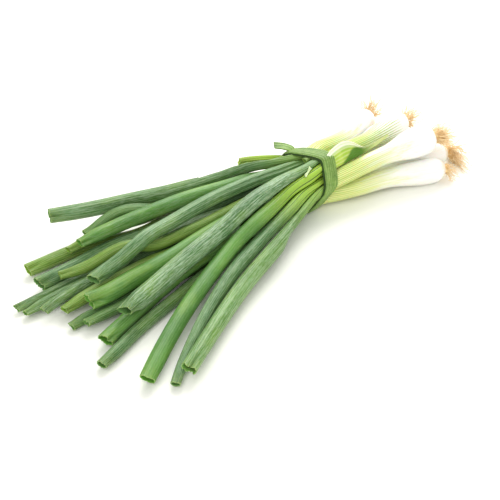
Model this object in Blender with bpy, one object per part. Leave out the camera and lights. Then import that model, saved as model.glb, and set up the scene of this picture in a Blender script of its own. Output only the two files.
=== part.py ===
"""A bunch of seven spring onions, tied once with a leaf and lying on its side.

X runs from the cut leaves to the roots, Z is up, and the middle of the tie's flat underside is the origin.
Necks, bulbs and leaves are strands: each has a middle line given as Y and Z along X, and a radius. The lines
are first settled, so that no two strands press into each other, and each strand's skin is then lofted. Where
two strands press together, both are flattened against the plane between them.
"""

import bmesh
import bpy
import numpy as np

MM = 0.001
GAP = 0.45  # clear distance between two pieces
WALL = 0.95  # thickness of a leaf's wall
NECK_RADIUS = 7.3
LEAN = 0.48  # on the near side the tie moves this far along X for each millimetre of height
WIND = 0.65  # share of that lean that is gone on the far side, as the tie is wound aslant
WIND_FROM, WIND_OVER = -12.0, 30.0  # where along Y the lean starts to go, and over what distance
TIE_WIDTH = 12.5
TIE_THICKNESS = 1.3
PLATE_RADIUS = 3.6  # root plate at the end of a bulb
PLATE_THICKNESS = 2.2
ROOT_RADIUS = 0.5
ROOTS = 18
ROOT_LENGTH = {1: 15.0, 2: 23.0, 3: 16.0, 4: 13.0, 5: 19.0, 6: 24.0, 7: 15.0}
STEP = 4.0
LINE_X = np.arange(-252.0, 172.0, STEP)
LEAF_SIDES = 10
BULB_SIDES = 14
LEAF_X = (9.0, 3.0, -4.0, -12.0, -23.0, -37.0, -54.0, -73.0, -94.0, -115.0, -136.0, -157.0, -177.0, -197.0, -216.0)
NECK_X = (17.0, 25.0, 35.0, 46.0, 57.0, 68.0, 78.0, 87.0, 95.0, 103.0, 111.0)
HOLLOW_STATIONS = 5  # a leaf is open for this many stations back from its cut end

# seat of the neck in the tie (Y, Z), middle of the bulb, root end, radius of the bulb
ONIONS = {
    1: ((-7.4, 8.8), (97, -42.2, 10), (112, -49.6, 9.7), 10.4),
    2: ((-14.8, 21.2), (99, -30.8, 30.5), (114, -33.4, 30.4), 12.6),
    3: ((-7.4, 33.6), (105, 1.5, 27), (121, 3.5, 25.5), 10.2),
    4: ((7.4, 33.6), (111, 41, 10), (127, 48, 9.7), 10.2),
    5: ((0, 21.2), (124, -6, 9.4), (140, -9, 9.2), 9.6),
    6: ((7.4, 8.8), (118, -28.5, 9.2), (132.5, -33.5, 9), 9.4),
    7: ((14.8, 21.2), (104, 22, 9.2), (119, 26, 9), 9.4),
}

# onion, leaf, bearing of its seat in the neck, points along it, radius at the seat, half way and at the cut
LEAVES = (
    (1, 1, 210, ((-134.5, -25, 5.5), (-230.5, -53, 5.2)), (4.0, 5.2, 4.6), "deep_green_leaf"),
    (1, 2, 90, ((-144.5, -13, 6.5), (-213.5, -11, 6.2)), (3.8, 4.4, 4.2), "deep_green_leaf"),
    (1, 3, 330, ((-151.5, -7, 5), (-220.5, -9, 4.6)), (3.6, 4.2, 4.0), "deep_green_leaf"),
    (2, 1, 90, ((-86, -37, 16), (-205.5, -101.5, 4)), (4.2, 6.0, 3.8), "blue_green_leaf"),
    (2, 2, 180, ((-80.5, -47, 13), (-195.5, -100, 10)), (4.6, 6.4, 5.8), "yellow_green_leaf"),
    (2, 3, 300, ((-118.5, -17, 10), (-215.5, -40, 7)), (4.2, 6.2, 6.2), "bright_green_leaf"),
    (3, 1, 60, ((-99.5, -18, 27.5), (-195.5, -34, 17)), (3.2, 7.0, 7.0), "blue_green_leaf"),
    (3, 2, 180, ((-100, -31, 19), (-219, -88, 6.5)), (4.4, 6.1, 6.1), "bright_green_leaf"),
    (3, 3, 300, ((-117.5, 12, 15), (-199.5, 36, 13)), (3.8, 4.7, 4.3), "olive_leaf"),
    (4, 1, 85, ((-78.5, 47, 26), (-168.5, 90, 22)), (4.4, 6.2, 6.0), "deep_green_leaf"),
    (4, 2, 275, ((-87, 36.5, 26), (-171.5, 50, 19)), (4.2, 6.0, 5.6), "bright_green_leaf"),
    (4, 3, 180, ((-83.5, 17.5, 29.5), (-190.5, 4.5, 19)), (4.0, 5.6, 5.6), "blue_green_leaf"),
    (5, 1, 20, ((-118.5, 34, 9), (-212.5, 42, 7)), (3.8, 5.6, 6.2), "blue_green_leaf"),
    (5, 2, 150, ((-132.5, -6, 17), (-204.5, -4, 15)), (4.0, 6.6, 7.2), "bright_green_leaf"),
    (5, 3, 250, ((-156.5, 9, 10), (-216.5, 9, 8)), (3.8, 5.0, 4.8), "olive_leaf"),
    (6, 1, 90, ((-156.5, 21, 12), (-228.5, 13, 8)), (3.8, 4.5, 4.0), "deep_green_leaf"),
    (6, 2, 210, ((-162.5, 25, 6), (-236.5, 25, 5)), (3.8, 4.4, 4.2), "deep_green_leaf"),
    (6, 3, 330, ((-156.5, 33, 5), (-237.5, 35, 4)), (3.6, 3.9, 3.5), "deep_green_leaf"),
    (7, 1, 230, ((-107.5, 48, 9), (-207.5, 64, 6)), (3.8, 5.4, 5.3), "olive_leaf"),
    (7, 2, 340, ((-89.5, 47, 13), (-176.5, 57, 11.5)), (3.6, 4.4, 4.5), "olive_leaf"),
    (7, 3, 90, ((-72.5, 40, 17), (-156.5, 62, 14)), (3.6, 4.2, 4.0), "deep_green_leaf"),
    (4, 0, 352, ((-10.5, 26.5, 34.5), (-28.5, 36.5, 34.5)), (3.8, 4.6, 5.0), "pale_leaf"),
)
SEAT_DISTANCE = 3.8

# colour, roughness
COLOURS = {
    "deep_green_leaf": ((0.055, 0.16, 0.03), 0.42),
    "bright_green_leaf": ((0.10, 0.28, 0.035), 0.40),
    "blue_green_leaf": ((0.10, 0.22, 0.09), 0.50),
    "yellow_green_leaf": ((0.18, 0.34, 0.06), 0.42),
    "olive_leaf": ((0.16, 0.24, 0.04), 0.45),
    "pale_leaf": ((0.50, 0.58, 0.16), 0.45),
    "bulb_and_neck": ((0.78, 0.80, 0.52), 0.35),
    "root_fibre": ((0.62, 0.42, 0.22), 0.80),
    "tie_leaf": ((0.09, 0.22, 0.035), 0.42),
}


def ease(x):
    """0 below 0, 1 above 1, and a smooth step between."""
    x = np.clip(x, 0.0, 1.0)
    return x * x * (3.0 - 2.0 * x)


def lean(y, z):
    """X of the tie's middle at (y, z): it leans to the roots, less so on the far side."""
    return LEAN * z * (1.0 - WIND * ease((y - WIND_FROM) / WIND_OVER))


def seat_plane(number):
    """X of the tie's middle at an onion's neck, and how it changes there with Y and with Z."""
    y, z = ONIONS[number][0]
    slope_y = (lean(y + 0.5, z) - lean(y - 0.5, z)) / 1.0
    return lean(y, z), slope_y, lean(y, 1.0)


def curve_through(points):
    """Y and Z along LINE_X of the smooth curve through the points, straight beyond its ends."""
    px, py, pz = np.array(points, float).T
    inner = np.clip(LINE_X, px.min(), px.max())
    lines = []
    for p in (py, pz):
        shape = np.polyfit(px, p, len(px) - 1)
        lines.append(np.polyval(shape, inner) + np.polyval(np.polyder(shape), inner) * (LINE_X - inner))
    return lines


def onion_radius(x, seat, middle, end, radius):
    """Neck that swells into the bulb and closes on the root plate."""
    swell = ease((x - seat) / (middle - seat) * 2.8 - 1.8)
    before = NECK_RADIUS + (radius - NECK_RADIUS) * swell
    over = np.clip((x - middle) / (end - middle), 0.0, 1.0)
    after = PLATE_RADIUS + (radius - PLATE_RADIUS) * np.sqrt(1.0 - over**2.6)
    return np.where(x < middle, before, after)


def onion_strand(number):
    (y, z), middle, end, radius = ONIONS[number]
    seat, *tilt = seat_plane(number)
    ys, zs = curve_through([(seat, y, z), middle, end])
    rs = onion_radius(LINE_X, seat, middle[0], end[0], radius)
    return {"name": f"onion_{number}", "onion": number, "leaf": False, "y": ys, "z": zs, "r": rs,
            "seat": seat + GAP / 2, "tilt": tilt, "end": end[0], "middle": middle[0], "look": "bulb_and_neck"}


def leaf_strand(number, leaf, bearing, way, girth, look):
    y, z = ONIONS[number][0]
    seat, *tilt = seat_plane(number)
    aside, above = SEAT_DISTANCE * np.cos(np.radians(bearing)), SEAT_DISTANCE * np.sin(np.radians(bearing))
    y, z = y + aside, z + above
    seat = seat + tilt[0] * aside + tilt[1] * above - GAP / 2
    end = way[-1][0]
    ys, zs = curve_through([(seat, y, z), *way])
    part = (seat - LINE_X) / (seat - end)
    first, half, last = girth[0] * 1.28, girth[1], girth[2]
    rs = first + (half - first) * ease(part / 0.4) + (last - half) * ease((part - 0.4) / 0.6)
    name = f"onion_{number}_leaf_{leaf}" if leaf else f"onion_{number}_stub"
    return {"name": name, "onion": number, "leaf": True, "y": ys, "z": zs, "r": rs,
            "seat": seat, "tilt": tilt, "end": end, "look": look}


def all_strands():
    return [onion_strand(number) for number in ONIONS] + [leaf_strand(*leaf) for leaf in LEAVES]


def alive(strand):
    """Which of LINE_X the strand reaches."""
    low, high = sorted((strand["seat"], strand["end"]))
    return (LINE_X >= low - STEP) & (LINE_X <= high + STEP)


def settle(strands, rounds=420):
    """Move the middle lines apart, a little at a time, until each pair clears the sum of its radii."""
    y, z, r = (np.array([s[k] for s in strands]) for k in ("y", "z", "r"))
    here = np.array([alive(s) for s in strands])
    seats = np.array([s["seat"] for s in strands])
    away = np.abs(LINE_X[None] - seats[:, None])
    free = ease((away - 2.0) / 45.0)
    leafy = np.array([s["leaf"] for s in strands])[:, None]
    firm = 0.96 - 0.34 * leafy * (1 - ease((away - 5.0) / 80.0))
    same = np.array([[a["onion"] == b["onion"] and a["leaf"] != b["leaf"] for b in strands] for a in strands])
    both = here[:, None] & here[None] & ~np.eye(len(strands), dtype=bool)[..., None] & ~same[..., None]
    bell = np.exp(-0.5 * (np.arange(-10, 11) / 3.8) ** 2)
    bell /= bell.sum()
    first_y, first_z = y.copy(), z.copy()
    for _ in range(rounds):
        slope = np.gradient(y, STEP, axis=1)
        across = 1.0 / np.sqrt(1.0 + ((slope[:, None] + slope[None]) / 2) ** 2)
        dy = (y[:, None] - y[None]) * across
        dz = z[:, None] - z[None]
        apart = np.sqrt(dy**2 + dz**2) + 1e-6
        crossing = 3.5 * np.abs(slope[:, None] - slope[None]) * free[:, None]
        want = (r * firm)[:, None] + (r * firm)[None] + GAP + crossing
        push = np.where(both, np.clip(want - apart, 0.0, 3.0), 0.0) * 0.42
        move_y = (push * dy / apart).sum(1) + 0.002 * (first_y - y)
        move_z = (push * dz / apart).sum(1) + 0.002 * (first_z - z)
        move_z += np.clip(0.97 * r - z, 0.0, 3.0) * here * 0.5
        for move in (move_y, move_z):
            move *= free
            padded = np.pad(move, ((0, 0), (10, 10)), mode="edge")
            move[:] = np.array([np.convolve(row, bell, "valid") for row in padded]) * free
        y += move_y
        z += move_z
    for s, row_y, row_z in zip(strands, y, z):
        s["y"], s["z"] = row_y, row_z
        s["slope_y"], s["slope_z"] = np.gradient(row_y, STEP), np.gradient(row_z, STEP)


def on_line(strand, x):
    """Points of the strand's middle line above x, and the unit direction of the line there."""
    point = np.stack([x, np.interp(x, LINE_X, strand["y"]), np.interp(x, LINE_X, strand["z"])], -1)
    slope_y, slope_z = np.interp(x, LINE_X, strand["slope_y"]), np.interp(x, LINE_X, strand["slope_z"])
    along = np.stack([np.ones_like(x), slope_y, slope_z], -1)
    return point, along / np.linalg.norm(along, axis=-1, keepdims=True)


def nearest_on(strand, points):
    """Nearest points of the strand's middle line, its direction and its squared radius there."""
    x = points[..., 0]
    for _ in range(3):
        near, along = on_line(strand, x)
        x = x + ((points - near) * along).sum(-1) * along[..., 0]
    low, high = sorted((strand["seat"], strand["end"]))
    beyond = np.maximum(np.maximum(low - x, x - high) - 4.0, 0.0)
    square = np.interp(x, LINE_X, strand["r"]) ** 2 - 1.6 * beyond**2
    near, along = on_line(strand, x)
    return near, along, square


def frames(strand, xs):
    """Two directions that span the section at each x: in the tie's plane at the seat, square on further out."""
    slope_y, slope_z = np.interp(xs, LINE_X, strand["slope_y"]), np.interp(xs, LINE_X, strand["slope_z"])
    square_on = ease(np.abs(xs - strand["seat"]) / 34.0)
    lean_y = (1 - square_on) * strand["tilt"][0] - square_on * slope_y
    lean_z = (1 - square_on) * strand["tilt"][1] - square_on * slope_z
    size_y = 1 + square_on * (np.sqrt(1 + lean_y**2) - 1)
    size_z = 1 + square_on * (np.sqrt(1 + lean_z**2) - 1)
    zero = np.zeros_like(xs)
    first = np.stack([lean_y / size_y, 1 / size_y, zero], -1)
    second = np.stack([lean_z / size_z, zero, 1 / size_z], -1)
    return first, second


def soft_least(values, sharpness=9.0):
    return (np.array(values) ** -sharpness).sum(0) ** (-1.0 / sharpness)


def sections(strand, strands, xs, radii, turns):
    """Skin points at each x and turn: round, but flattened where a neighbour, the floor or the neck is in the way."""
    centre, _ = on_line(strand, xs)
    first, second = frames(strand, xs)
    aim = np.cos(turns)[None, :, None] * first[:, None] + np.sin(turns)[None, :, None] * second[:, None]
    own_along = on_line(strand, xs)[1][:, None]
    own_size = (aim**2).sum(-1) - (aim * own_along).sum(-1) ** 2
    gap = GAP * (2.2 - 1.2 * ease(np.abs(xs - strand["seat"])[:, None] / 16.0))
    round_skin = np.repeat(radii[:, None], len(turns), 1)
    own_square = round_skin**2
    reach = round_skin
    for _ in range(4):
        limits = [round_skin]
        for other in strands:
            if other is strand or (other["onion"] == strand["onion"] and other["leaf"] != strand["leaf"]):
                continue
            near, along, square = nearest_on(other, centre[:, None] + reach[..., None] * aim)
            offset = centre[:, None] - near
            offset = offset - (offset * along).sum(-1, keepdims=True) * along
            flat_aim = aim - (aim * along).sum(-1, keepdims=True) * along
            apart2 = (offset**2).sum(-1)
            toward = -2.0 * (offset * flat_aim).sum(-1)
            spare = ((flat_aim**2).sum(-1) - own_size) * reach**2
            room = apart2 - square + own_square - gap * np.sqrt(apart2) + spare
            limits.append(np.where(toward > 1e-3, np.maximum(room, 0.5) / np.maximum(toward, 1e-3), 1e3))
        if strand["leaf"]:
            limits.append(neck_limit(strand, centre, aim, xs))
        reach = np.maximum(soft_least(np.minimum(limits, 1e3)), 0.3 * round_skin)
    down = np.maximum(-aim[..., 2], 1e-3)
    reach = np.minimum(reach, centre[:, None, 2] / down)
    return centre[:, None] + reach[..., None] * aim, centre, aim, reach


def neck_limit(strand, centre, aim, xs):
    """Reach that keeps a leaf inside a cone that opens from its neck."""
    y, z = ONIONS[strand["onion"]][0]
    out = np.maximum(strand["seat"] - xs, 0.0)
    radius = NECK_RADIUS - 0.1 + 0.1 * out + 0.004 * out**2
    offset = centre[:, None, 1:] - np.array([y, z])
    q = (offset * aim[..., 1:]).sum(-1)
    size = (aim[..., 1:] ** 2).sum(-1)
    inside = np.maximum(radius[:, None] ** 2 - (offset**2).sum(-1), 0.4)
    return (-q + np.sqrt(q**2 + size * inside)) / size


def new_mesh(name, points, faces, look, smooth=True):
    """Object in the bunch's collection from points in millimetres."""
    mesh = bpy.data.meshes.new(name)
    mesh.from_pydata((np.asarray(points) * MM).tolist(), [], faces)
    mesh.validate()
    mesh.materials.append(material(look))
    work = bmesh.new()
    work.from_mesh(mesh)
    bmesh.ops.remove_doubles(work, verts=work.verts, dist=1e-7)
    bmesh.ops.recalc_face_normals(work, faces=work.faces)
    work.to_mesh(mesh)
    work.free()
    mesh.polygons.foreach_set("use_smooth", np.full(len(mesh.polygons), smooth))
    return bpy.data.objects.new(name, mesh)


def loft_faces(rings, sides, closed_row=False):
    """Quads between rings of points laid out ring after ring, and a face over the first and the last ring."""
    index = np.arange(rings * sides).reshape(rings, sides)
    faces = []
    for i in range(rings if closed_row else rings - 1):
        here, there = index[i], index[(i + 1) % rings]
        for j in range(sides):
            k = (j + 1) % sides
            faces.append((int(here[j]), int(here[k]), int(there[k]), int(there[j])))
    if not closed_row:
        faces.append([int(v) for v in index[0][::-1]])
        faces.append([int(v) for v in index[-1]])
    return faces


def loft(name, rings, look):
    rings = np.asarray(rings)
    count, sides = rings.shape[:2]
    return new_mesh(name, rings.reshape(-1, 3), loft_faces(count, sides), look)


def onion_body(strand, strands):
    """Neck and bulb as one solid, with a flat end for the roots."""
    start, middle, end = strand["seat"], strand["middle"], strand["end"]
    neck = np.array([start, *(x for x in NECK_X if start + 4.0 < x < middle - 4.0), middle])
    close = middle + (end - middle) * np.array([0.25, 0.48, 0.68, 0.83, 0.93, 0.985, 1.0])
    xs = np.concatenate([neck, close])
    radii = onion_radius(xs, start, middle, end, np.interp(middle, LINE_X, strand["r"]))
    radii[len(neck) - 1] = ONIONS[strand["onion"]][3]
    radii[len(neck):] = onion_radius(close, start, middle, end, ONIONS[strand["onion"]][3])
    turns = np.arange(BULB_SIDES) * 2 * np.pi / BULB_SIDES + np.pi / 2
    skin = sections(strand, strands, xs, radii, turns)[0]
    strand["skin"] = skin
    return loft(strand["name"], skin, strand["look"])


def leaf_body(strand, strands):
    """Leaf closed at its seat, and a tube open at its cut end."""
    seat, end = strand["seat"], strand["end"]
    stations = [x for x in LEAF_X if seat - 5.0 > x > end + 9.0]
    xs = np.array([seat, *stations, end])
    turns = np.arange(LEAF_SIDES) * 2 * np.pi / LEAF_SIDES + np.pi / 2
    radii = np.interp(xs, LINE_X, strand["r"])
    skin, centre, aim, reach = sections(strand, strands, xs, radii, turns)
    strand["skin"] = skin
    depth = min(HOLLOW_STATIONS, len(xs) - 2)
    inner = centre[-depth:, None] + np.maximum(reach[-depth:] - WALL, 0.5)[..., None] * aim[-depth:]
    return loft(strand["name"], np.concatenate([skin, inner[::-1]]), strand["look"])


def skin_near_tie(strands, reach):
    """Points of the strands' skins within reach of the tie's middle plane along X."""
    found = []
    for strand in strands:
        skin = strand["skin"][:6]
        for part in np.linspace(0, 1, 9):
            points = (skin[:-1] * (1 - part) + skin[1:] * part).reshape(-1, 3)
            near = np.abs(points[:, 0] - lean(points[:, 1], points[:, 2])) < reach
            found.append(points[near])
    return np.concatenate(found)


def outline_round(points, turns, gap):
    """Corners of the tight outline round (Y, Z) points, one between each two turns."""
    normal = np.stack([np.cos(turns), np.sin(turns)], -1)
    reach = (points[:, 1:] @ normal.T).max(0) + gap
    after = np.roll(normal, -1, 0)
    reach_after = np.roll(reach, -1)
    cross = normal[:, 0] * after[:, 1] - normal[:, 1] * after[:, 0]
    y = (reach * after[:, 1] - reach_after * normal[:, 1]) / cross
    z = (reach_after * normal[:, 0] - reach * after[:, 0]) / cross
    return np.stack([y, z], -1)


def tie_ring(strands):
    """Flat leaf wound once round the necks, standing on a flat underside."""
    turns = np.arange(40) * 2 * np.pi / 40
    points = skin_near_tie(strands, TIE_WIDTH / 2 + 1.0)
    inner = outline_round(points, turns, 0.35)
    outer = outline_round(points, turns, 0.35 + TIE_THICKNESS)
    middle = outline_round(points, turns, 0.35 + TIE_THICKNESS + 0.35)
    middle_turn = turns + np.pi / 40
    width = TIE_WIDTH / 2 * (1 - 0.16 * ease(-np.sin(middle_turn)) - 0.3 * ease(np.cos(middle_turn)))
    rings = []
    for shape, side in ((inner, -1.0), (inner, 1.0), (outer, 1.0), (middle, 0.0), (outer, -1.0)):
        y, z = shape[:, 0], np.maximum(shape[:, 1], 0.0)
        rings.append(np.stack([lean(y, z) + side * width, y, z], -1))
    rings = np.stack(rings, 1)
    return new_mesh("tie_leaf", rings.reshape(-1, 3), loft_faces(40, 5, closed_row=True), "tie_leaf"), inner[:, 1].max()


def clear_of(points, strands, distance):
    """Push points out of the necks and leaves until each is at least distance from their skins."""
    points = np.array(points, float)
    for _ in range(12):
        for strand in strands:
            near, along, square = nearest_on(strand, points)
            offset = points - near
            offset = offset - (offset * along).sum(-1, keepdims=True) * along
            apart = np.sqrt((offset**2).sum(-1, keepdims=True)) + 1e-6
            want = np.sqrt(np.maximum(square, 0.0))[..., None] + distance
            want = np.where(square[..., None] > 0, want, 0.0)
            points += offset / apart * np.clip(want - apart, 0.0, 2.0)
    return points


def ribbon(name, middle, thickness, look):
    """Strip of even thickness: middle points (stations, columns, 3), thickened along the local normal."""
    middle = np.asarray(middle, float)
    along = np.gradient(middle, axis=0)
    normal = np.cross(along, np.gradient(middle, axis=1))
    normal /= np.linalg.norm(normal, axis=-1, keepdims=True)
    top = middle + normal * thickness / 2
    under = middle - normal * thickness / 2
    return loft(name, np.concatenate([top, under[:, ::-1]], 1), look)


def tie_tail(strands, top):
    """Cut end of the tie that comes out from its far side and points away over the leaves."""
    rise = top + TIE_THICKNESS / 2
    path = np.array([(7.0, 15.2, rise - 4.8), (8.2, 17.0, rise - 2.2), (4.5, 21.5, rise - 0.3), (-0.5, 27.0, rise)])
    side = np.array([(1.0, 0.0, 0.0), (0.92, 0.38, 0.0), (0.75, 0.66, -0.06), (0.64, 0.76, -0.1)])
    half = np.array([3.2, 3.9, 4.6, 5.0])
    columns = np.linspace(-1, 1, 4)
    middle = path[:, None] + columns[None, :, None] * half[:, None, None] * side[:, None]
    leaves = [s for s in strands if s["leaf"]]
    middle[1:] = clear_of(middle[1:], leaves, 1.2)
    return ribbon("tail", middle, 1.0, "tie_leaf")


def tie_scoop(strands):
    """Other end of the tie, which leans on one neck, stands up above it and narrows to a strip in the groove."""
    stations = (
        (20.0, (-17.4, 32.6), (-14.3, 38.0), (-9.6, 42.4)),
        (26.0, (-16.0, 32.2), (-12.8, 38.6), (-8.6, 44.6)),
        (33.0, (-15.8, 31.4), (-12.0, 39.0), (-7.8, 45.8)),
        (40.0, (-15.6, 31.4), (-12.0, 39.0), (-8.6, 46.2)),
        (46.0, (-15.6, 31.8), (-12.6, 38.4), (-12.4, 44.4)),
        (51.0, (-15.8, 32.4), (-13.8, 36.6), (-15.4, 40.6)),
        (57.0, (-16.2, 33.2), (-14.8, 35.0), (-15.2, 37.2)),
        (68.0, (-16.8, 35.0), (-15.6, 35.8), (-14.8, 37.0)),
        (81.0, (-16.8, 38.0), (-16.2, 38.4), (-15.6, 38.9)),
    )
    t = np.linspace(0, 1, 7)
    middle = []
    for x, low, half, rim in stations:
        low, half, rim = np.array(low), np.array(half), np.array(rim)
        curve = np.outer((1 - t) * (1 - 2 * t), low) + np.outer(4 * t * (1 - t), half)
        curve += np.outer(t * (2 * t - 1), rim)
        middle.append(np.column_stack([np.full(len(t), x), curve]))
    necks = [s for s in strands if not s["leaf"]]
    middle = np.array(middle)
    middle[1:] = clear_of(middle[1:], necks, 1.15)
    return ribbon("scoop", middle, 0.9, "tie_leaf")


def root_paths(strand, placed, strands):
    """Middle lines of a bulb's roots: a brush that spreads and droops, kept off the other onions."""
    rng = np.random.default_rng(40 + strand["onion"])
    end, along = on_line(strand, np.array([strand["end"]]))
    end, along = end[0], along[0]
    side = np.cross(along, (0, 0, 1.0))
    side /= np.linalg.norm(side)
    up = np.cross(side, along)
    others = [s for s in strands if s is not strand and not s["leaf"]]
    paths = []
    for attempt in range(2500):
        if len(paths) == ROOTS:
            break
        turn = rng.uniform(0, 2 * np.pi)
        out = np.sqrt(rng.uniform(0.02, 1.0))
        length = rng.uniform(0.6, 1.0) * ROOT_LENGTH[strand["onion"]]
        spread = np.cos(turn) * side + np.sin(turn) * up
        steps = np.array([0, 0.3, 0.65, 1.0])[:, None]
        start = end + along * (GAP + PLATE_THICKNESS * 0.5) + spread * out * (PLATE_RADIUS - 0.9)
        heading = along + spread * out * rng.uniform(0.25, 0.95)
        bend = rng.normal(0, 1.0, 3) * 2.6
        path = start + heading * length * steps + bend * steps**2 + np.array([0, 0, -3.2]) * steps**2
        path[1:, 2] = np.maximum(path[1:, 2], 0.75 + 0.5 * rng.uniform())
        if not clears(path, placed, others):
            continue
        paths.append(path)
    placed.extend(np.concatenate([p[:-1] * (1 - t) + p[1:] * t for t in (0, 0.34, 0.67)]) for p in paths)
    return paths, end, along, side, up


def clears(path, placed, others):
    """True where a root path keeps off the other bulbs and the roots already placed."""
    dense = np.concatenate([path[:-1] * (1 - t) + path[1:] * t for t in (0, 0.34, 0.67, 1.0)])
    for strand in others:
        near, along, square = nearest_on(strand, dense)
        if (((dense - near) ** 2).sum(-1) < (np.sqrt(np.maximum(square, 0)) + 1.5) ** 2).any():
            return False
        tip, way = on_line(strand, np.array([strand["end"] + 2.0]))
        if (((dense - tip) ** 2).sum(-1) < 36.0).any():
            return False
    if placed:
        taken = np.concatenate(placed)
        return bool((((dense[:, None] - taken[None]) ** 2).sum(-1) > 1.9**2).all())
    return True


def tube(name, path, radius, sides, look):
    """Round tube of few sides along a path of points."""
    along = np.gradient(path, axis=0)
    along /= np.linalg.norm(along, axis=1, keepdims=True)
    first = np.cross(along, (0.3, 0.2, 1.0))
    first /= np.linalg.norm(first, axis=1, keepdims=True)
    second = np.cross(along, first)
    turns = np.arange(sides) * 2 * np.pi / sides
    ring = np.cos(turns)[None, :, None] * first[:, None] + np.sin(turns)[None, :, None] * second[:, None]
    return loft(name, path[:, None] + ring * radius, look)


def root_tuft(strand, placed, strands):
    """Root plate and its roots, fused."""
    paths, end, along, side, up = root_paths(strand, placed, strands)
    turns = np.arange(10) * 2 * np.pi / 10
    circle = np.cos(turns)[:, None] * side + np.sin(turns)[:, None] * up
    depths = np.array([0.0, 0.7, PLATE_THICKNESS])
    widths = np.array([PLATE_RADIUS - 0.4, PLATE_RADIUS - 0.1, PLATE_RADIUS - 1.0])
    rings = end + along * (GAP + depths)[:, None, None] + circle * widths[:, None, None]
    plate = loft(strand["name"] + "_roots", rings, "root_fibre")
    pieces = [tube(f"root_{i}", path, ROOT_RADIUS, 3, "root_fibre") for i, path in enumerate(paths)]
    return fused(plate, pieces)


def fused(body, pieces):
    """Body with the pieces joined to it by one Boolean union, applied."""
    shelf = bpy.data.collections.new("joined_pieces")
    bpy.context.scene.collection.children.link(shelf)
    for piece in pieces:
        shelf.objects.link(piece)
    bpy.context.scene.collection.objects.link(body)
    union = body.modifiers.new("union", "BOOLEAN")
    union.operation = "UNION"
    union.operand_type = "COLLECTION"
    union.collection = shelf
    union.solver = "MANIFOLD"
    bpy.context.view_layer.update()
    whole = bpy.data.meshes.new_from_object(body.evaluated_get(bpy.context.evaluated_depsgraph_get()))
    whole.name = body.name
    body.modifiers.clear()
    body.data = whole
    bpy.context.scene.collection.objects.unlink(body)
    for piece in pieces:
        bpy.data.objects.remove(piece)
    bpy.data.collections.remove(shelf)
    return body


def material(look):
    found = bpy.data.materials.get(look)
    if found:
        return found
    (red, green, blue), roughness = COLOURS[look]
    made = bpy.data.materials.new(look)
    made.use_nodes = True
    shader = made.node_tree.nodes["Principled BSDF"]
    shader.inputs["Base Color"].default_value = (red, green, blue, 1.0)
    shader.inputs["Roughness"].default_value = roughness
    shader.inputs["Metallic"].default_value = 0.0
    made.diffuse_color = (red, green, blue, 1.0)
    return made


def main():
    for item in list(bpy.data.objects):
        bpy.data.objects.remove(item)
    bunch = bpy.data.collections.new("spring_onion_bunch")
    bpy.context.scene.collection.children.link(bunch)
    strands = all_strands()
    settle(strands)
    for strand in strands:
        body = leaf_body(strand, strands) if strand["leaf"] else onion_body(strand, strands)
        bunch.objects.link(body)
    placed = []
    for strand in strands:
        if not strand["leaf"]:
            bunch.objects.link(root_tuft(strand, placed, strands))
    ring, top = tie_ring(strands)
    bunch.objects.link(fused(ring, [tie_tail(strands, top), tie_scoop(strands)]))


main()
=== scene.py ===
"""Looks of a bunch of spring onions, tied with a leaf and lying on its side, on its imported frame.

Lengths are in millimetres until a mesh is made. X runs from the cut leaves to the roots and Z is up. Necks,
bulbs and leaves are strands: each has a middle line, given as Y and Z along X, and a radius. The lines are
settled first, so that no two strands press into each other, and each strand's skin is then worked out round it.
"""

import bpy
import numpy as np
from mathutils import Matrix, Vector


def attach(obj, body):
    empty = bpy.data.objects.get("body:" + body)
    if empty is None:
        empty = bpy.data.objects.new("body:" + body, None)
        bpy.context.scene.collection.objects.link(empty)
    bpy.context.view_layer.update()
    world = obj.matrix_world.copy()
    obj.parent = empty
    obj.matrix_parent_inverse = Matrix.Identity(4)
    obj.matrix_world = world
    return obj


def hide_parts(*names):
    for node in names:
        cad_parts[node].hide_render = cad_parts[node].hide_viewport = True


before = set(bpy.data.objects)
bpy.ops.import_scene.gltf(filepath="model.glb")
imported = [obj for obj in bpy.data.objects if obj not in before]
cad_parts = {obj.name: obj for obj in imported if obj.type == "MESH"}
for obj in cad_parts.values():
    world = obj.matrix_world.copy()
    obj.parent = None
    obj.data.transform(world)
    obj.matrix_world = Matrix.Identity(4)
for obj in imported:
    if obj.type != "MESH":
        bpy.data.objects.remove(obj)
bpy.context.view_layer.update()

MM = 0.001
GAP = 0.45
NECK_RADIUS = 7.3
LEAN = 0.48
WIND = 0.65
WIND_FROM, WIND_OVER = -12.0, 30.0
TIE_WIDTH = 12.5
PLATE_RADIUS = 3.6
PLATE_THICKNESS = 2.2
SEAT_DISTANCE = 3.8
WALL = 0.75
STEP = 4.0
LINE_X = np.arange(-252.0, 172.0, STEP)
SHARPNESS = 9.0  # of the smooth least of several limits
LEAF_SIDES = 44
BULB_SIDES = 72
BAND_SIDES = 200
BAND_COLUMNS = 25
PLATE_SIDES = 16
PRESSED_OVER = 17.0  # how far back from its cut a leaf is pressed flat
INNER_RINGS = 48  # rings of a leaf's inner wall, counted back from its cut

# seat of the neck in the tie (Y, Z), middle of the bulb, root end, radius of the bulb
ONIONS = {
    1: ((-7.4, 8.8), (97, -42.2, 10), (112, -49.6, 9.7), 10.4),
    2: ((-14.8, 21.2), (99, -30.8, 30.5), (114, -33.4, 30.4), 12.6),
    3: ((-7.4, 33.6), (105, 1.5, 27), (121, 3.5, 25.5), 10.2),
    4: ((7.4, 33.6), (111, 41, 10), (127, 48, 9.7), 10.2),
    5: ((0, 21.2), (124, -6, 9.4), (140, -9, 9.2), 9.6),
    6: ((7.4, 8.8), (118, -28.5, 9.2), (132.5, -33.5, 9), 9.4),
    7: ((14.8, 21.2), (104, 22, 9.2), (119, 26, 9), 9.4),
}

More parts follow.
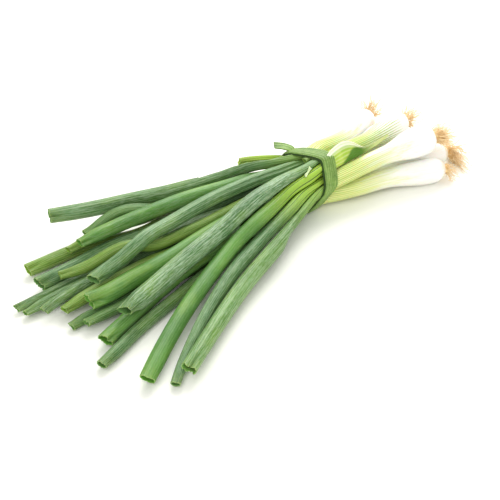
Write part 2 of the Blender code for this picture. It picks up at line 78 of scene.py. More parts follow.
# onion, leaf, bearing of its seat in the neck, points along it, radius at the seat, half way and at the cut
LEAVES = (
    (1, 1, 210, ((-134.5, -25, 5.5), (-230.5, -53, 5.2)), (4.0, 5.2, 4.6), "deep_green"),
    (1, 2, 90, ((-144.5, -13, 6.5), (-213.5, -11, 6.2)), (3.8, 4.4, 4.2), "deep_green"),
    (1, 3, 330, ((-151.5, -7, 5), (-220.5, -9, 4.6)), (3.6, 4.2, 4.0), "deep_green"),
    (2, 1, 90, ((-86, -37, 16), (-205.5, -101.5, 4)), (4.2, 6.0, 3.8), "blue_green"),
    (2, 2, 180, ((-80.5, -47, 13), (-195.5, -100, 10)), (4.6, 6.4, 5.8), "yellow_green"),
    (2, 3, 300, ((-118.5, -17, 10), (-215.5, -40, 7)), (4.2, 6.2, 6.2), "bright_green"),
    (3, 1, 60, ((-99.5, -18, 27.5), (-195.5, -34, 17)), (3.2, 7.0, 7.0), "blue_green"),
    (3, 2, 180, ((-100, -31, 19), (-219, -88, 6.5)), (4.4, 6.1, 6.1), "bright_green"),
    (3, 3, 300, ((-117.5, 12, 15), (-199.5, 36, 13)), (3.8, 4.7, 4.3), "olive"),
    (4, 1, 85, ((-78.5, 47, 26), (-168.5, 90, 22)), (4.4, 6.2, 6.0), "deep_green"),
    (4, 2, 275, ((-87, 36.5, 26), (-171.5, 50, 19)), (4.2, 6.0, 5.6), "bright_green"),
    (4, 3, 180, ((-83.5, 17.5, 29.5), (-190.5, 4.5, 19)), (4.0, 5.6, 5.6), "blue_green"),
    (5, 1, 20, ((-118.5, 34, 9), (-212.5, 42, 7)), (3.8, 5.6, 6.2), "blue_green"),
    (5, 2, 150, ((-132.5, -6, 17), (-204.5, -4, 15)), (4.0, 6.6, 7.2), "bright_green"),
    (5, 3, 250, ((-156.5, 9, 10), (-216.5, 9, 8)), (3.8, 5.0, 4.8), "olive"),
    (6, 1, 90, ((-156.5, 21, 12), (-228.5, 13, 8)), (3.8, 4.5, 4.0), "deep_green"),
    (6, 2, 210, ((-162.5, 25, 6), (-236.5, 25, 5)), (3.8, 4.4, 4.2), "deep_green"),
    (6, 3, 330, ((-156.5, 33, 5), (-237.5, 35, 4)), (3.6, 3.9, 3.5), "deep_green"),
    (7, 1, 230, ((-107.5, 48, 9), (-207.5, 64, 6)), (3.8, 5.4, 5.3), "olive"),
    (7, 2, 340, ((-89.5, 47, 13), (-176.5, 57, 11.5)), (3.6, 4.4, 4.5), "olive"),
    (7, 3, 90, ((-72.5, 40, 17), (-156.5, 62, 14)), (3.6, 4.2, 4.0), "deep_green"),
    (4, 0, 352, ((-10.5, 26.5, 34.5), (-28.5, 36.5, 34.5)), (3.8, 4.6, 5.0), "pale"),
)

# how each leaf is cut off: slant of the cut and the bearing that it retreats at, how far the tube is pressed
# flat and along which bearing, a fold pressed into it (depth, bearing, half width), and how ragged the edge is
CUTS = {
    (1, 1): (2.2, 280, 0.2, 60, (0.25, 120, 0.5), 0.4),
    (1, 2): (1.2, 240, 0.4, 80, (0.45, 130, 0.5), 0.8),
    (1, 3): (1.2, 270, 0.45, 120, (0.7, 60, 0.6), 0.7),
    (2, 1): (2.2, 285, 0.18, 60, (0.2, 100, 0.5), 0.3),
    (2, 2): (1.5, 230, 0.38, 120, (0.7, 130, 0.4), 2.4),
    (2, 3): (3.4, 270, 0.22, 100, (0.5, 150, 0.35), 1.2),
    (3, 1): (3.6, 215, 0.4, 60, (0.4, 180, 0.5), 1.1),
    (3, 2): (4.4, 280, 0.14, 130, (0.12, 205, 0.4), 0.35),
    (3, 3): (1.0, 260, 0.25, 60, (0.5, 130, 0.4), 0.5),
    (4, 1): (1.0, 200, 0.3, 170, (0.8, 160, 0.34), 0.5),
    (4, 2): (1.5, 230, 0.35, 60, (0.6, 160, 0.4), 0.6),
    (4, 3): (3.0, 210, 0.35, 120, (0.55, 190, 0.45), 0.8),
    (5, 1): (3.0, 230, 0.45, 130, (0.5, 150, 0.6), 1.0),
    (5, 2): (2.6, 250, 0.3, 140, (0.85, 165, 0.34), 1.3),
    (5, 3): (1.6, 260, 0.4, 80, (0.5, 170, 0.45), 0.7),
    (6, 1): (3.0, 260, 0.6, 150, (0.5, 130, 0.5), 0.8),
    (6, 2): (1.6, 260, 0.45, 60, (0.5, 140, 0.5), 0.5),
    (6, 3): (1.2, 240, 0.5, 110, (0.5, 100, 0.5), 0.6),
    (7, 1): (1.2, 260, 0.25, 120, (0.55, 130, 0.4), 0.5),
    (7, 2): (1.0, 250, 0.38, 60, (0.4, 150, 0.5), 0.5),
    (7, 3): (0.8, 250, 0.35, 60, (0.4, 120, 0.5), 0.3),
    (4, 0): (0.8, 110, 0.5, 20, (0.0, 0, 0.5), 0.4),
}

# how many roots, their length, how far they spread, how their tips drift, and their radius
ROOTS = {
    1: (60, 10.0, 0.9, (-2.0, -2.0, -3.0), 0.3),
    2: (150, 18.5, 0.6, (0.0, -1.0, -0.5), 0.32),
    3: (110, 16.0, 0.9, (0.0, 0.0, 1.0), 0.36),
    4: (110, 13.5, 1.2, (-1.0, 0.0, 4.0), 0.36),
    5: (70, 18.0, 1.0, (0.0, -5.0, -3.0), 0.32),
    6: (150, 16.0, 1.5, (-5.0, -7.0, -8.0), 0.32),
    7: (70, 15.0, 1.0, (0.0, 0.0, -3.0), 0.32),
}

# strength of the whitish bloom, which is partly the leaves' real waxy bloom and partly painted highlight, and
# yellow-green at the tie with its reach
BLOOM_AND_HIGHLIGHT = {(3, 1): 0.95, (2, 2): 0.55, (2, 1): 0.4, (3, 2): 0.15, (4, 1): 0.55, (4, 2): 0.35, (4, 3): 0.5,
         (2, 3): 0.2, (5, 1): 0.35, (6, 1): 0.75, (6, 2): 0.45, (6, 3): 0.4, (1, 1): 0.3}
WARM = {(3, 2): (0.95, 95.0), (2, 1): (0.9, 75.0), (2, 2): (0.45, 50.0), (2, 3): (0.4, 50.0),
        (4, 0): (0.95, 60.0), (1, 2): (0.4, 50.0), (4, 1): (0.3, 40.0)}

# name, place in metres, size and power of each light
LIGHTS = (("key", (0.8, 0.7, 1.02), 1.1, 21.5), ("fill", (-1.0, -0.9, 1.2), 1.2, 8.5))

# deep colour, main colour, streak colour of each kind of leaf and of the tie's two plies; the inner ply's
# near-black greens are painted shade of the gap between the tie and the leaves
GREENS = {
    "deep_green": ((0.042, 0.112, 0.02), (0.098, 0.212, 0.044), (0.27, 0.42, 0.16)),
    "bright_green": ((0.05, 0.158, 0.018), (0.108, 0.272, 0.038), (0.27, 0.46, 0.12)),
    "blue_green": ((0.046, 0.13, 0.032), (0.105, 0.222, 0.06), (0.29, 0.44, 0.2)),
    "yellow_green": ((0.075, 0.18, 0.028), (0.14, 0.285, 0.06), (0.33, 0.48, 0.18)),
    "olive": ((0.088, 0.18, 0.02), (0.18, 0.305, 0.038), (0.36, 0.5, 0.11)),
    "pale": ((0.42, 0.53, 0.1), (0.56, 0.65, 0.18), (0.76, 0.8, 0.42)),
    "tie_leaf": ((0.092, 0.195, 0.027), (0.185, 0.325, 0.055), (0.37, 0.51, 0.15)),
    # near-black greens of the inner ply: painted shade in the gap between the tie and the leaves
    "tie_painted_shade": ((0.012, 0.03, 0.005), (0.03, 0.075, 0.01), (0.07, 0.13, 0.02)),
}


def ease(x):
    """0 below 0, 1 above 1, and a smooth step between."""
    x = np.clip(x, 0.0, 1.0)
    return x * x * (3.0 - 2.0 * x)


def unit(vectors):
    """The same directions with length 1."""
    return vectors / np.linalg.norm(vectors, axis=-1, keepdims=True)


def square_to(vectors, along):
    """What is left of the vectors without their part along the unit directions."""
    return vectors - (vectors * along).sum(-1, keepdims=True) * along


def full_turn(count):
    """That many turns, evenly round the circle."""
    return np.arange(count) / count * 2 * np.pi


def phase(rng):
    return rng.uniform(0, 6.28)


def bell(half, width):
    """Weights of a bell over half samples to either side, with a sum of 1."""
    weights = np.exp(-0.5 * (np.arange(-half, half + 1) / width) ** 2)
    return weights / weights.sum()


def smooth_step(a, b, c, d, t):
    """Smooth curve from b at t = 0 to c at t = 1, with a and d as the samples before and after."""
    return b + 0.5 * t * (c - a + t * (2 * a - 5 * b + 4 * c - d + t * (3 * (b - c) + d - a)))


def lean(y, z):
    """X of the tie's middle at (y, z): it leans to the roots, less so on the far side."""
    return LEAN * z * (1.0 - WIND * ease((y - WIND_FROM) / WIND_OVER))


def seat_plane(number):
    """X of the tie's middle at an onion's neck, and how it changes there with Y and with Z."""
    y, z = ONIONS[number][0]
    slope_y = lean(y + 0.5, z) - lean(y - 0.5, z)
    return lean(y, z), slope_y, lean(y, 1.0)


def curve_through(points):
    """Y and Z along LINE_X of the smooth curve through the points, straight beyond its ends."""
    px, py, pz = np.array(points, float).T
    inner = np.clip(LINE_X, px.min(), px.max())
    lines = []
    for p in (py, pz):
        shape = np.polyfit(px, p, len(px) - 1)
        lines.append(np.polyval(shape, inner) + np.polyval(np.polyder(shape), inner) * (LINE_X - inner))
    return lines


def onion_radius(x, seat, middle, end, radius):
    """Neck that swells into the bulb and closes on the root plate."""
    swell = ease((x - seat) / (middle - seat) * 2.8 - 1.8)
    before = NECK_RADIUS + (radius - NECK_RADIUS) * swell
    over = np.clip((x - middle) / (end - middle), 0.0, 1.0)
    after = PLATE_RADIUS + (radius - PLATE_RADIUS) * np.sqrt(1.0 - over**2.6)
    return np.where(x < middle, before, after)


def onion_strand(number):
    (y, z), middle, end, radius = ONIONS[number]
    seat, *tilt = seat_plane(number)
    ys, zs = curve_through([(seat, y, z), middle, end])
    rs = onion_radius(LINE_X, seat, middle[0], end[0], radius)
    return {"onion": number, "leaf": False, "y": ys, "z": zs, "r": rs,
            "seat": seat + GAP / 2, "tilt": tilt, "end": end[0], "middle": middle[0]}


def leaf_strand(number, leaf, bearing, way, girth, look):
    y, z = ONIONS[number][0]
    seat, *tilt = seat_plane(number)
    aside, above = SEAT_DISTANCE * np.cos(np.radians(bearing)), SEAT_DISTANCE * np.sin(np.radians(bearing))
    y, z = y + aside, z + above
    seat = seat + tilt[0] * aside + tilt[1] * above - GAP / 2
    end = way[-1][0]
    ys, zs = curve_through([(seat, y, z), *way])
    part = (seat - LINE_X) / (seat - end)
    first, half, last = girth[0] * 1.28, girth[1], girth[2]
    rs = first + (half - first) * ease(part / 0.4) + (last - half) * ease((part - 0.4) / 0.6)
    return {"onion": number, "leaf": True, "number": leaf, "y": ys, "z": zs, "r": rs,
            "seat": seat, "tilt": tilt, "end": end, "look": look}


def alive(strand):
    """Which of LINE_X the strand reaches."""
    low, high = sorted((strand["seat"], strand["end"]))
    return (LINE_X >= low - STEP) & (LINE_X <= high + STEP)


def settle(strands, rounds=420):
    """Move the middle lines apart, a little at a time, until each pair clears the sum of its radii."""
    y, z, r = (np.array([s[k] for s in strands]) for k in ("y", "z", "r"))
    here = np.array([alive(s) for s in strands])
    seats = np.array([s["seat"] for s in strands])
    away = np.abs(LINE_X[None] - seats[:, None])
    free = ease((away - 2.0) / 45.0)
    leafy = np.array([s["leaf"] for s in strands])[:, None]
    firm = 0.96 - 0.34 * leafy * (1 - ease((away - 5.0) / 80.0))
    same = np.array([[a["onion"] == b["onion"] and a["leaf"] != b["leaf"] for b in strands] for a in strands])
    both = here[:, None] & here[None] & ~np.eye(len(strands), dtype=bool)[..., None] & ~same[..., None]
    soft = bell(10, 3.8)
    first_y, first_z = y.copy(), z.copy()
    for _ in range(rounds):
        slope = np.gradient(y, STEP, axis=1)
        across = 1.0 / np.sqrt(1.0 + ((slope[:, None] + slope[None]) / 2) ** 2)
        dy = (y[:, None] - y[None]) * across
        dz = z[:, None] - z[None]
        apart = np.sqrt(dy**2 + dz**2) + 1e-6
        crossing = 3.5 * np.abs(slope[:, None] - slope[None]) * free[:, None]
        want = (r * firm)[:, None] + (r * firm)[None] + GAP + crossing
        push = np.where(both, np.clip(want - apart, 0.0, 3.0), 0.0) * 0.42
        move_y = (push * dy / apart).sum(1) + 0.002 * (first_y - y)
        move_z = (push * dz / apart).sum(1) + 0.002 * (first_z - z)
        move_z += np.clip(0.97 * r - z, 0.0, 3.0) * here * 0.5
        for move in (move_y, move_z):
            move *= free
            padded = np.pad(move, ((0, 0), (10, 10)), mode="edge")
            move[:] = np.array([np.convolve(row, soft, "valid") for row in padded]) * free
        y += move_y
        z += move_z
    for s, row_y, row_z in zip(strands, y, z):
        s["y"], s["z"] = row_y, row_z
        s["slope_y"], s["slope_z"] = np.gradient(row_y, STEP), np.gradient(row_z, STEP)


def smooth_between(x, values):
    """Values along LINE_X at x, by a cubic through the four nearest samples, with no corners between."""
    at = np.clip((x - LINE_X[0]) / STEP, 1.0, len(LINE_X) - 2.001)
    i = at.astype(int)
    t = at - i
    a, b, c, d = values[i - 1], values[i], values[i + 1], values[np.minimum(i + 2, len(values) - 1)]
    return smooth_step(a, b, c, d, t)


def on_line(strand, x):
    """Points of the strand's middle line above x, and the unit direction of the line there."""
    point = np.stack([x, smooth_between(x, strand["y"]), smooth_between(x, strand["z"])], -1)
    slope_y, slope_z = smooth_between(x, strand["slope_y"]), smooth_between(x, strand["slope_z"])
    return point, unit(np.stack([np.ones_like(x), slope_y, slope_z], -1))


def nearest_on(strand, points):
    """Nearest points of the strand's middle line, its direction and its squared radius there."""
    x = points[..., 0]
    for _ in range(3):
        near, along = on_line(strand, x)
        x = x + ((points - near) * along).sum(-1) * along[..., 0]
    low, high = sorted((strand["seat"], strand["end"]))
    beyond = np.maximum(np.maximum(low - x, x - high) - 4.0, 0.0)
    square = np.interp(x, LINE_X, strand["r"]) ** 2 - 1.6 * beyond**2
    near, along = on_line(strand, x)
    return near, along, square


def frames(strand, xs):
    """Two directions that span the section at each x: in the tie's plane at the seat, square on further out."""
    slope_y, slope_z = smooth_between(xs, strand["slope_y"]), smooth_between(xs, strand["slope_z"])
    square_on = ease(np.abs(xs - strand["seat"]) / 34.0)
    lean_y = (1 - square_on) * strand["tilt"][0] - square_on * slope_y
    lean_z = (1 - square_on) * strand["tilt"][1] - square_on * slope_z
    size_y = 1 + square_on * (np.sqrt(1 + lean_y**2) - 1)
    size_z = 1 + square_on * (np.sqrt(1 + lean_z**2) - 1)
    zero = np.zeros_like(xs)
    first = np.stack([lean_y / size_y, 1 / size_y, zero], -1)
    second = np.stack([lean_z / size_z, zero, 1 / size_z], -1)
    return first, second


def sections(strand, strands, xs, radii, turns):
    """Reach of the skin at each x and turn: round, but flat where a neighbour or the floor is in the way."""
    centre, own = on_line(strand, xs)
    first, second = frames(strand, xs)
    aim = np.cos(turns)[None, :, None] * first[:, None] + np.sin(turns)[None, :, None] * second[:, None]
    own_size = (aim**2).sum(-1) - (aim * own[:, None]).sum(-1) ** 2
    gap = GAP * (2.2 - 1.2 * ease(np.abs(xs - strand["seat"])[:, None] / 16.0)) * 0.55
    round_skin = np.repeat(radii[:, None], len(turns), 1)
    reach = round_skin
    for _ in range(4):
        limits = [round_skin]
        for other in strands:
            if other is strand or (other["onion"] == strand["onion"] and other["leaf"] != strand["leaf"]):
                continue
            near, along, square = nearest_on(other, centre[:, None] + reach[..., None] * aim)
            offset = square_to(centre[:, None] - near, along)
            flat_aim = square_to(aim, along)
            apart2 = (offset**2).sum(-1)
            toward = -2.0 * (offset * flat_aim).sum(-1)
            spare = ((flat_aim**2).sum(-1) - own_size) * reach**2
            room = apart2 - square + round_skin**2 - gap * np.sqrt(apart2) + spare
            limits.append(np.where(toward > 1e-3, np.maximum(room, 0.5) / np.maximum(toward, 1e-3), 1e3))
        if strand["leaf"]:
            limits.append(neck_limit(strand, centre, aim, xs))
        soft_least = (np.minimum(limits, 1e3) ** -SHARPNESS).sum(0) ** (-1.0 / SHARPNESS)
        reach = np.maximum(soft_least, 0.3 * round_skin)
    down = np.maximum(-aim[..., 2], 1e-3)
    return centre, aim, np.minimum(reach, centre[:, None, 2] / down)


def neck_limit(strand, centre, aim, xs):
    """Reach that keeps a leaf inside a cone that opens from its neck."""
    y, z = ONIONS[strand["onion"]][0]
    out = np.maximum(strand["seat"] - xs, 0.0)
    radius = NECK_RADIUS - 0.1 + 0.1 * out + 0.004 * out**2
    offset = centre[:, None, 1:] - np.array([y, z])
    q = (offset * aim[..., 1:]).sum(-1)
    size = (aim[..., 1:] ** 2).sum(-1)
    inside = np.maximum(radius[:, None] ** 2 - (offset**2).sum(-1), 0.4)
    return (-q + np.sqrt(q**2 + size * inside)) / size


def put_mesh(name, points, faces, corner_uv, fields, finish):
    """Mesh object from points in millimetres, faces with their corner UVs, and values per point."""
    mesh = bpy.data.meshes.new(name)
    mesh.from_pydata((points * MM).tolist(), [], faces)
    mesh.polygons.foreach_set("use_smooth", np.ones(len(mesh.polygons), bool))
    layer = mesh.uv_layers.new(name="strand")
    layer.data.foreach_set("uv", np.asarray(corner_uv, np.float32).ravel())
    for field, values in fields.items():
        values = np.asarray(values, np.float32)
        kind, key = ("FLOAT_VECTOR", "vector") if values.ndim == 2 else ("FLOAT", "value")
        mesh.attributes.new(field, kind, "POINT").data.foreach_set(key, values.ravel())
    mesh.materials.append(finish)
    made = bpy.data.objects.new(name, mesh)
    bpy.context.scene.collection.objects.link(made)
    return made


def corners(u0, u1, v0, v1):
    """UVs of each quad's four corners."""
    return np.stack([u0, v0, u0, v1, u1, v1, u1, v0], -1).reshape(-1, 4, 2)


def inside_out(points, quads):
    """Whether the volume within the quads comes out negative."""
    a, b, c, d = (points[quads[:, k]] for k in range(4))
    return (a * np.cross(b, c)).sum() + (a * np.cross(c, d)).sum() < 0


def ring_values(values, turns):
    """One value per ring, for each of its points."""
    return np.broadcast_to(values[:, None], (len(values), len(turns)))


def grain_of(radius, turns, along):
    """Where each point of a strand lies if the strand is laid out straight."""
    return np.stack([radius * np.cos(turns)[None], radius * np.sin(turns)[None], ring_values(along, turns)], -1)


def closed_skin(name, rings, along, fields, finish):
    """Closed skin through rings of points (ring, side, 3), with a point over the first and the last ring.

    U is the share of the way round and V is the distance along in metres. Each ring is joined to the next by
    quads, and the ends by triangles. The faces are turned if the skin's volume comes out negative.
    """
    count, sides = rings.shape[:2]
    points = np.concatenate([rings.reshape(-1, 3), rings[0].mean(0)[None], rings[-1].mean(0)[None]])
    index = np.arange(count * sides).reshape(count, sides)
    after = np.roll(index, -1, 1)
    quads = np.stack([index[:-1], index[1:], after[1:], after[:-1]], -1).reshape(-1, 4)
    first = np.stack([np.full(sides, count * sides), index[0], after[0]], -1)
    last = np.stack([np.full(sides, count * sides + 1), after[-1], index[-1]], -1)
    u0 = np.arange(sides) / sides
    u1 = u0 + 1.0 / sides
    v = np.asarray(along) * MM
    v0, v1 = np.repeat(v[:-1, None], sides, 1), np.repeat(v[1:, None], sides, 1)
    uv = corners(np.broadcast_to(u0, v0.shape), np.broadcast_to(u1, v0.shape), v0, v1)
    low, high = np.full(sides, v[0]), np.full(sides, v[-1])
    uv_first = np.stack([(u0 + u1) / 2, low, u0, low, u1, low], -1).reshape(-1, 3, 2)
    uv_last = np.stack([(u0 + u1) / 2, high, u1, high, u0, high], -1).reshape(-1, 3, 2)
    if inside_out(points, quads):
        quads, first, last = quads[:, ::-1], first[:, ::-1], last[:, ::-1]
        uv, uv_first, uv_last = uv[:, ::-1], uv_first[:, ::-1], uv_last[:, ::-1]
    corner_uv = np.concatenate([uv.reshape(-1, 2), uv_first.reshape(-1, 2), uv_last.reshape(-1, 2)])
    ends = {}
    for field, values in fields.items():
        flat_values = values.reshape((count * sides,) + values.shape[2:])
        ends[field] = np.concatenate([flat_values, values[0].mean(0)[None], values[-1].mean(0)[None]])
    faces = quads.tolist() + first.tolist() + last.tolist()
    return put_mesh(name, points, faces, corner_uv, ends, finish)


def place(piece, slot, *nodes):
    """Ride on the one body and stand for the CAD nodes, which are hidden. The slot is not used."""
    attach(piece, "root")
    if nodes:
        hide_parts(*nodes)
    return piece


def facets(seed, xs, turns, depth):
    """Soft flats that wander round a tube as it runs, at most 1.

    They are a sum of waves round the tube whose phases drift with x.
    """
    rng = np.random.default_rng(seed)
    total = np.zeros((len(xs), len(turns)))
    for waves, weight in ((2, 1.0), (3, 0.8), (5, 0.45), (7, 0.25)):
        drift = phase(rng) + xs[:, None] / rng.uniform(35.0, 90.0) * rng.choice([-1, 1])
        swell = 0.6 + 0.4 * np.sin(xs[:, None] / rng.uniform(20.0, 45.0) + phase(rng))
        total += weight * swell * (0.5 + 0.5 * np.cos(waves * turns[None] + drift))
    return 1.0 - depth * total / 2.5


def pressed(turns, bearing, width):
    """1 at the bearing in degrees, falling to 0 away from it as a bell of that half width in radians."""
    apart = np.angle(np.exp(1j * (turns - np.radians(bearing))))
    return np.exp(-((apart / width) ** 2))


def leaf_piece(strand, strands, finish):
    """One leaf: its skin, a rolled rim at the cut and the inner wall of the tube, as one closed surface.

    The reach of the skin is that of the flattened strand, times the wandering flats, less the creases near the
    tie. Over the last 17 mm the tube is pressed flat along one bearing, a fold is pressed in, and the rim is
    moved back by the slant and the tears of the cut.
    """
    key = (strand["onion"], strand["number"])
    slant, slant_at, flat, flat_at, (fold, fold_at, fold_width), ragged = CUTS[key]
    seat, end = strand["seat"], strand["end"]
    seed = 100 + 10 * key[0] + key[1]
    rng = np.random.default_rng(seed)
    fine = end + 18.0 * (1 - np.linspace(0, 1, 20)) ** 1.3
    xs = np.concatenate([np.arange(seat, fine[0] + 1.0, -2.2), fine])
    turns = full_turn(LEAF_SIDES)
    radii = np.interp(xs, LINE_X, strand["r"])
    centre, aim, reach = sections(strand, strands, xs, radii, turns)
    free = ease((seat - xs) / 50.0)[:, None]
    reach = reach * (1 - (1 - facets(seed, xs, turns, 0.13)) * free)
    for _ in range(3):
        crease_at = rng.uniform(60, 230)
        deep = rng.uniform(0.5, 1.2)
        fade = np.exp(-((seat - xs) / rng.uniform(40.0, 90.0)) ** 2)[:, None] * ease((seat - xs) / 4.0)[:, None]
        reach = reach - deep * fade * pressed(turns, crease_at, 0.11)[None]
    near_cut = ease((end + PRESSED_OVER - xs) / PRESSED_OVER)[:, None]
    squeeze = 1 - flat * near_cut * np.cos(turns - np.radians(flat_at))[None] ** 2
    dent = 1 - fold * near_cut**1.5 * pressed(turns, fold_at, fold_width)[None]
    reach = np.maximum(reach * squeeze * dent, 0.9)
    tears = np.zeros_like(turns)
    for waves in (3, 5, 8, 13):
        tears += rng.uniform(0.3, 1.0) * np.sin(waves * turns + phase(rng))
    back = slant * (0.5 + 0.5 * np.cos(turns - np.radians(slant_at))) + ragged * (0.5 + 0.35 * tears)
    back = np.maximum(back, 0.0)
    direction = on_line(strand, xs)[1]
    skin = centre[:, None] + reach[..., None] * aim + (near_cut * back)[..., None] * direction[:, None]
    rolled = []
    for inward, outward in ((0.1, 0.16), (0.5, 0.24), (0.9, 0.16)):
        ring = centre[-1] + np.maximum(reach[-1] - inward * WALL, 0.3)[:, None] * aim[-1]
        rolled.append(ring + (back - outward)[:, None] * direction[-1])
    depth = np.arange(len(xs) - 1, max(len(xs) - INNER_RINGS, 6), -1)
    thick = WALL * (1 + 0.9 * ease((xs[depth] - end) / 40.0))[:, None]
    inner = centre[depth, None] + np.maximum(reach[depth] - thick, 0.25)[..., None] * aim[depth]
    inner = inner + (near_cut[depth] * back)[..., None] * direction[depth, None]
    rings = np.concatenate([skin, np.array(rolled), inner])
    along = np.concatenate([seat - xs, np.full(3, seat - end), seat - xs[depth]])
    inside = np.concatenate([np.zeros(len(xs)), [0.25, 0.6, 0.9], np.ones(len(depth))])
    behind = np.concatenate([xs - end, np.zeros(3), xs[depth] - end])
    radius = np.concatenate([radii, np.full(3, radii[-1]), radii[depth]])[:, None]
    fields = {"grain": grain_of(radius, turns, along), "inside": ring_values(inside, turns),
              "behind": ring_values(behind, turns)}
    strand["skin"] = skin
    name = f"leaf_{key[0]}_{key[1]}" if key[1] else f"stub_{key[0]}"
    node = f"onion_{key[0]}_leaf_{key[1]}" if key[1] else f"onion_{key[0]}_stub"
    return place(closed_skin(name, rings, along, fields, finish), strand["look"] + "_leaf", node)


def onion_piece(strand, strands, finish):
    """One neck with its bulb as a closed surface.

    The reach is that of the flattened strand, with fine ribs along the neck and the step of one sheath's edge,
    which winds a little as it runs to the bulb.
    """
    number = strand["onion"]
    start, middle, end = strand["seat"], strand["middle"], strand["end"]
    rng = np.random.default_rng(300 + number)
    neck = np.linspace(start, middle, 64)
    close = middle + (end - middle) * np.sin(np.linspace(0, np.pi / 2, 26)[1:])
    xs = np.concatenate([neck, close])
    radii = onion_radius(xs, start, middle, end, ONIONS[number][3])
    turns = full_turn(BULB_SIDES)
    centre, aim, reach = sections(strand, strands, xs, radii, turns)
    thin = (1 - ease((xs - start - 30.0) / (middle - start - 30.0)))[:, None]
    ribs = np.zeros((len(xs), len(turns)))
    for waves, deep in ((9, 0.1), (14, 0.08), (23, 0.07), (31, 0.05)):
        ribs += deep * (0.5 + 0.5 * np.cos(waves * turns[None] + phase(rng) + xs[:, None] / 160.0))
    reach = reach - ribs * (0.25 + 0.75 * thin)
    for _ in range(2):
        edge = rng.uniform(60, 260)
        wander = turns[None] - np.radians(edge) - (xs[:, None] - start) / rng.uniform(120, 260)
        apart = np.angle(np.exp(1j * wander))
        step = np.where(apart > 0, np.exp(-apart / 0.5), np.exp(-((apart / 0.05) ** 2)))
        reach = reach - 0.32 * step * thin * ease((xs - start)[:, None] / 6.0)
    skin = centre[:, None] + reach[..., None] * aim
    strand["skin"] = skin
    along = xs - start
    ripe = np.clip(along / (middle - start), 0.0, 1.0) + np.clip((xs - middle) / (end - middle), 0.0, 1.0)
    fields = {"grain": grain_of(reach, turns, along), "ripe": ring_values(ripe, turns)}
    piece = closed_skin(f"neck_and_bulb_{number}", skin, along, fields, finish)
    return place(piece, "bulb_and_neck", f"onion_{number}")


def operator(operation, swapped=False):
    """Method that adds a Math node of the operation."""

    def method(self, other):
        return self.worked(operation, *((other, self) if swapped else (self, other)))

    return method


class Socket:
    """Output of a node in a finish. Arithmetic on it adds Math nodes."""

    __add__ = __radd__ = operator("ADD")
    __mul__ = __rmul__ = operator("MULTIPLY")
    __sub__, __rsub__ = operator("SUBTRACT"), operator("SUBTRACT", True)
    __truediv__, __pow__ = operator("DIVIDE"), operator("POWER")

    def __init__(self, finish, socket):
        self.finish, self.socket = finish, socket

    def worked(self, operation, *values):
        return self.finish.node("Math", {"operation": operation}, dict(enumerate(values)))

    def sine(self):
        return self.worked("SINE", self)

    def held(self):
        """Kept between 0 and 1."""
        return self.finish.node("Clamp", {}, {"Value": self})

    def step(self, low, high):
        """0 below low, 1 above high and smooth between."""
        settings = {"interpolation_type": "SMOOTHSTEP"}
        return self.finish.node("MapRange", settings, {"Value": self, "From Min": low, "From Max": high})


class Finish:
    """A material and its node tree."""

    def __init__(self, name):
        self.material = bpy.data.materials.new(name)
        self.material.use_nodes = True
        self.tree = self.material.node_tree
        self.shader = self.tree.nodes["Principled BSDF"]

    def node(self, kind, settings=None, inputs=None, output=0):
        """Output of a new node of that kind, with its settings and its inputs' values or links."""
        made = self.tree.nodes.new("ShaderNode" + kind)
        for key, value in (settings or {}).items():
            setattr(made, key, value)
        for key, value in (inputs or {}).items():
            if isinstance(value, Socket):
                self.tree.links.new(value.socket, made.inputs[key])
            else:
                made.inputs[key].default_value = value
        return Socket(self, made.outputs[output])

    def field(self, name, output=2):
        """Value stored on the mesh's points: 2 for a number, 1 for a vector."""
        return self.node("Attribute", {"attribute_name": name}, {}, output)

    def around(self):
        """Share of the way round the strand."""
        coordinates = self.node("UVMap", {"uv_map": "strand"})
        return self.node("SeparateXYZ", {}, {0: coordinates})

    def along(self):
        """Distance along the strand, in millimetres."""
        coordinates = self.node("UVMap", {"uv_map": "strand"})
        return self.node("SeparateXYZ", {}, {0: coordinates}, 1) * 1000.0

    def noise(self, across, lengthwise, detail=3.0, seed=0.0):
        """Noise on the strand's own coordinates, with that many spots per millimetre across and along."""
        scaled = self.node("VectorMath", {"operation": "MULTIPLY_ADD"},
                           {0: self.field("grain", 1), 1: (across, across, lengthwise), 2: (seed, seed, seed)})
        return self.node("TexNoise", {}, {"Vector": scaled, "Scale": 1.0, "Detail": detail})

    def spots(self, scale, detail=3.0):
        """Noise on the object's own coordinates."""
        place_at = self.node("TexCoord", {}, {}, 3)
        return self.node("TexNoise", {}, {"Vector": place_at, "Scale": scale, "Detail": detail})

    def over(self, colour, *layers):
        """Colour with each layer's tint laid over it in turn, by the layer's share."""
        for share, tint in layers:
            colour = self.mix(share, colour, tint)
        return colour

    def mix(self, share, first, second):
        """Colour that goes from the first to the second as share goes from 0 to 1."""
        colours = [(*c, 1.0) if isinstance(c, tuple) else c for c in (first, second)]
        return self.node("Mix", {"data_type": "RGBA"}, {0: share, 6: colours[0], 7: colours[1]}, 2)

    def bump(self, height, distance, strength):
        normal = self.node("Bump", {}, {"Height": height, "Distance": distance, "Strength": strength})
        self.tree.links.new(normal.socket, self.shader.inputs["Normal"])

    def feed(self, *values):
        """Material, with values or links on the first of these sockets of its shader."""
        names = ("Base Color", "Roughness", "Subsurface Weight", "Subsurface Scale", "IOR")
        for key, value in zip(names, values):
            target = self.shader.inputs[key]
            if isinstance(value, Socket):
                self.tree.links.new(value.socket, target)
            else:
                target.default_value = value
        return self.material


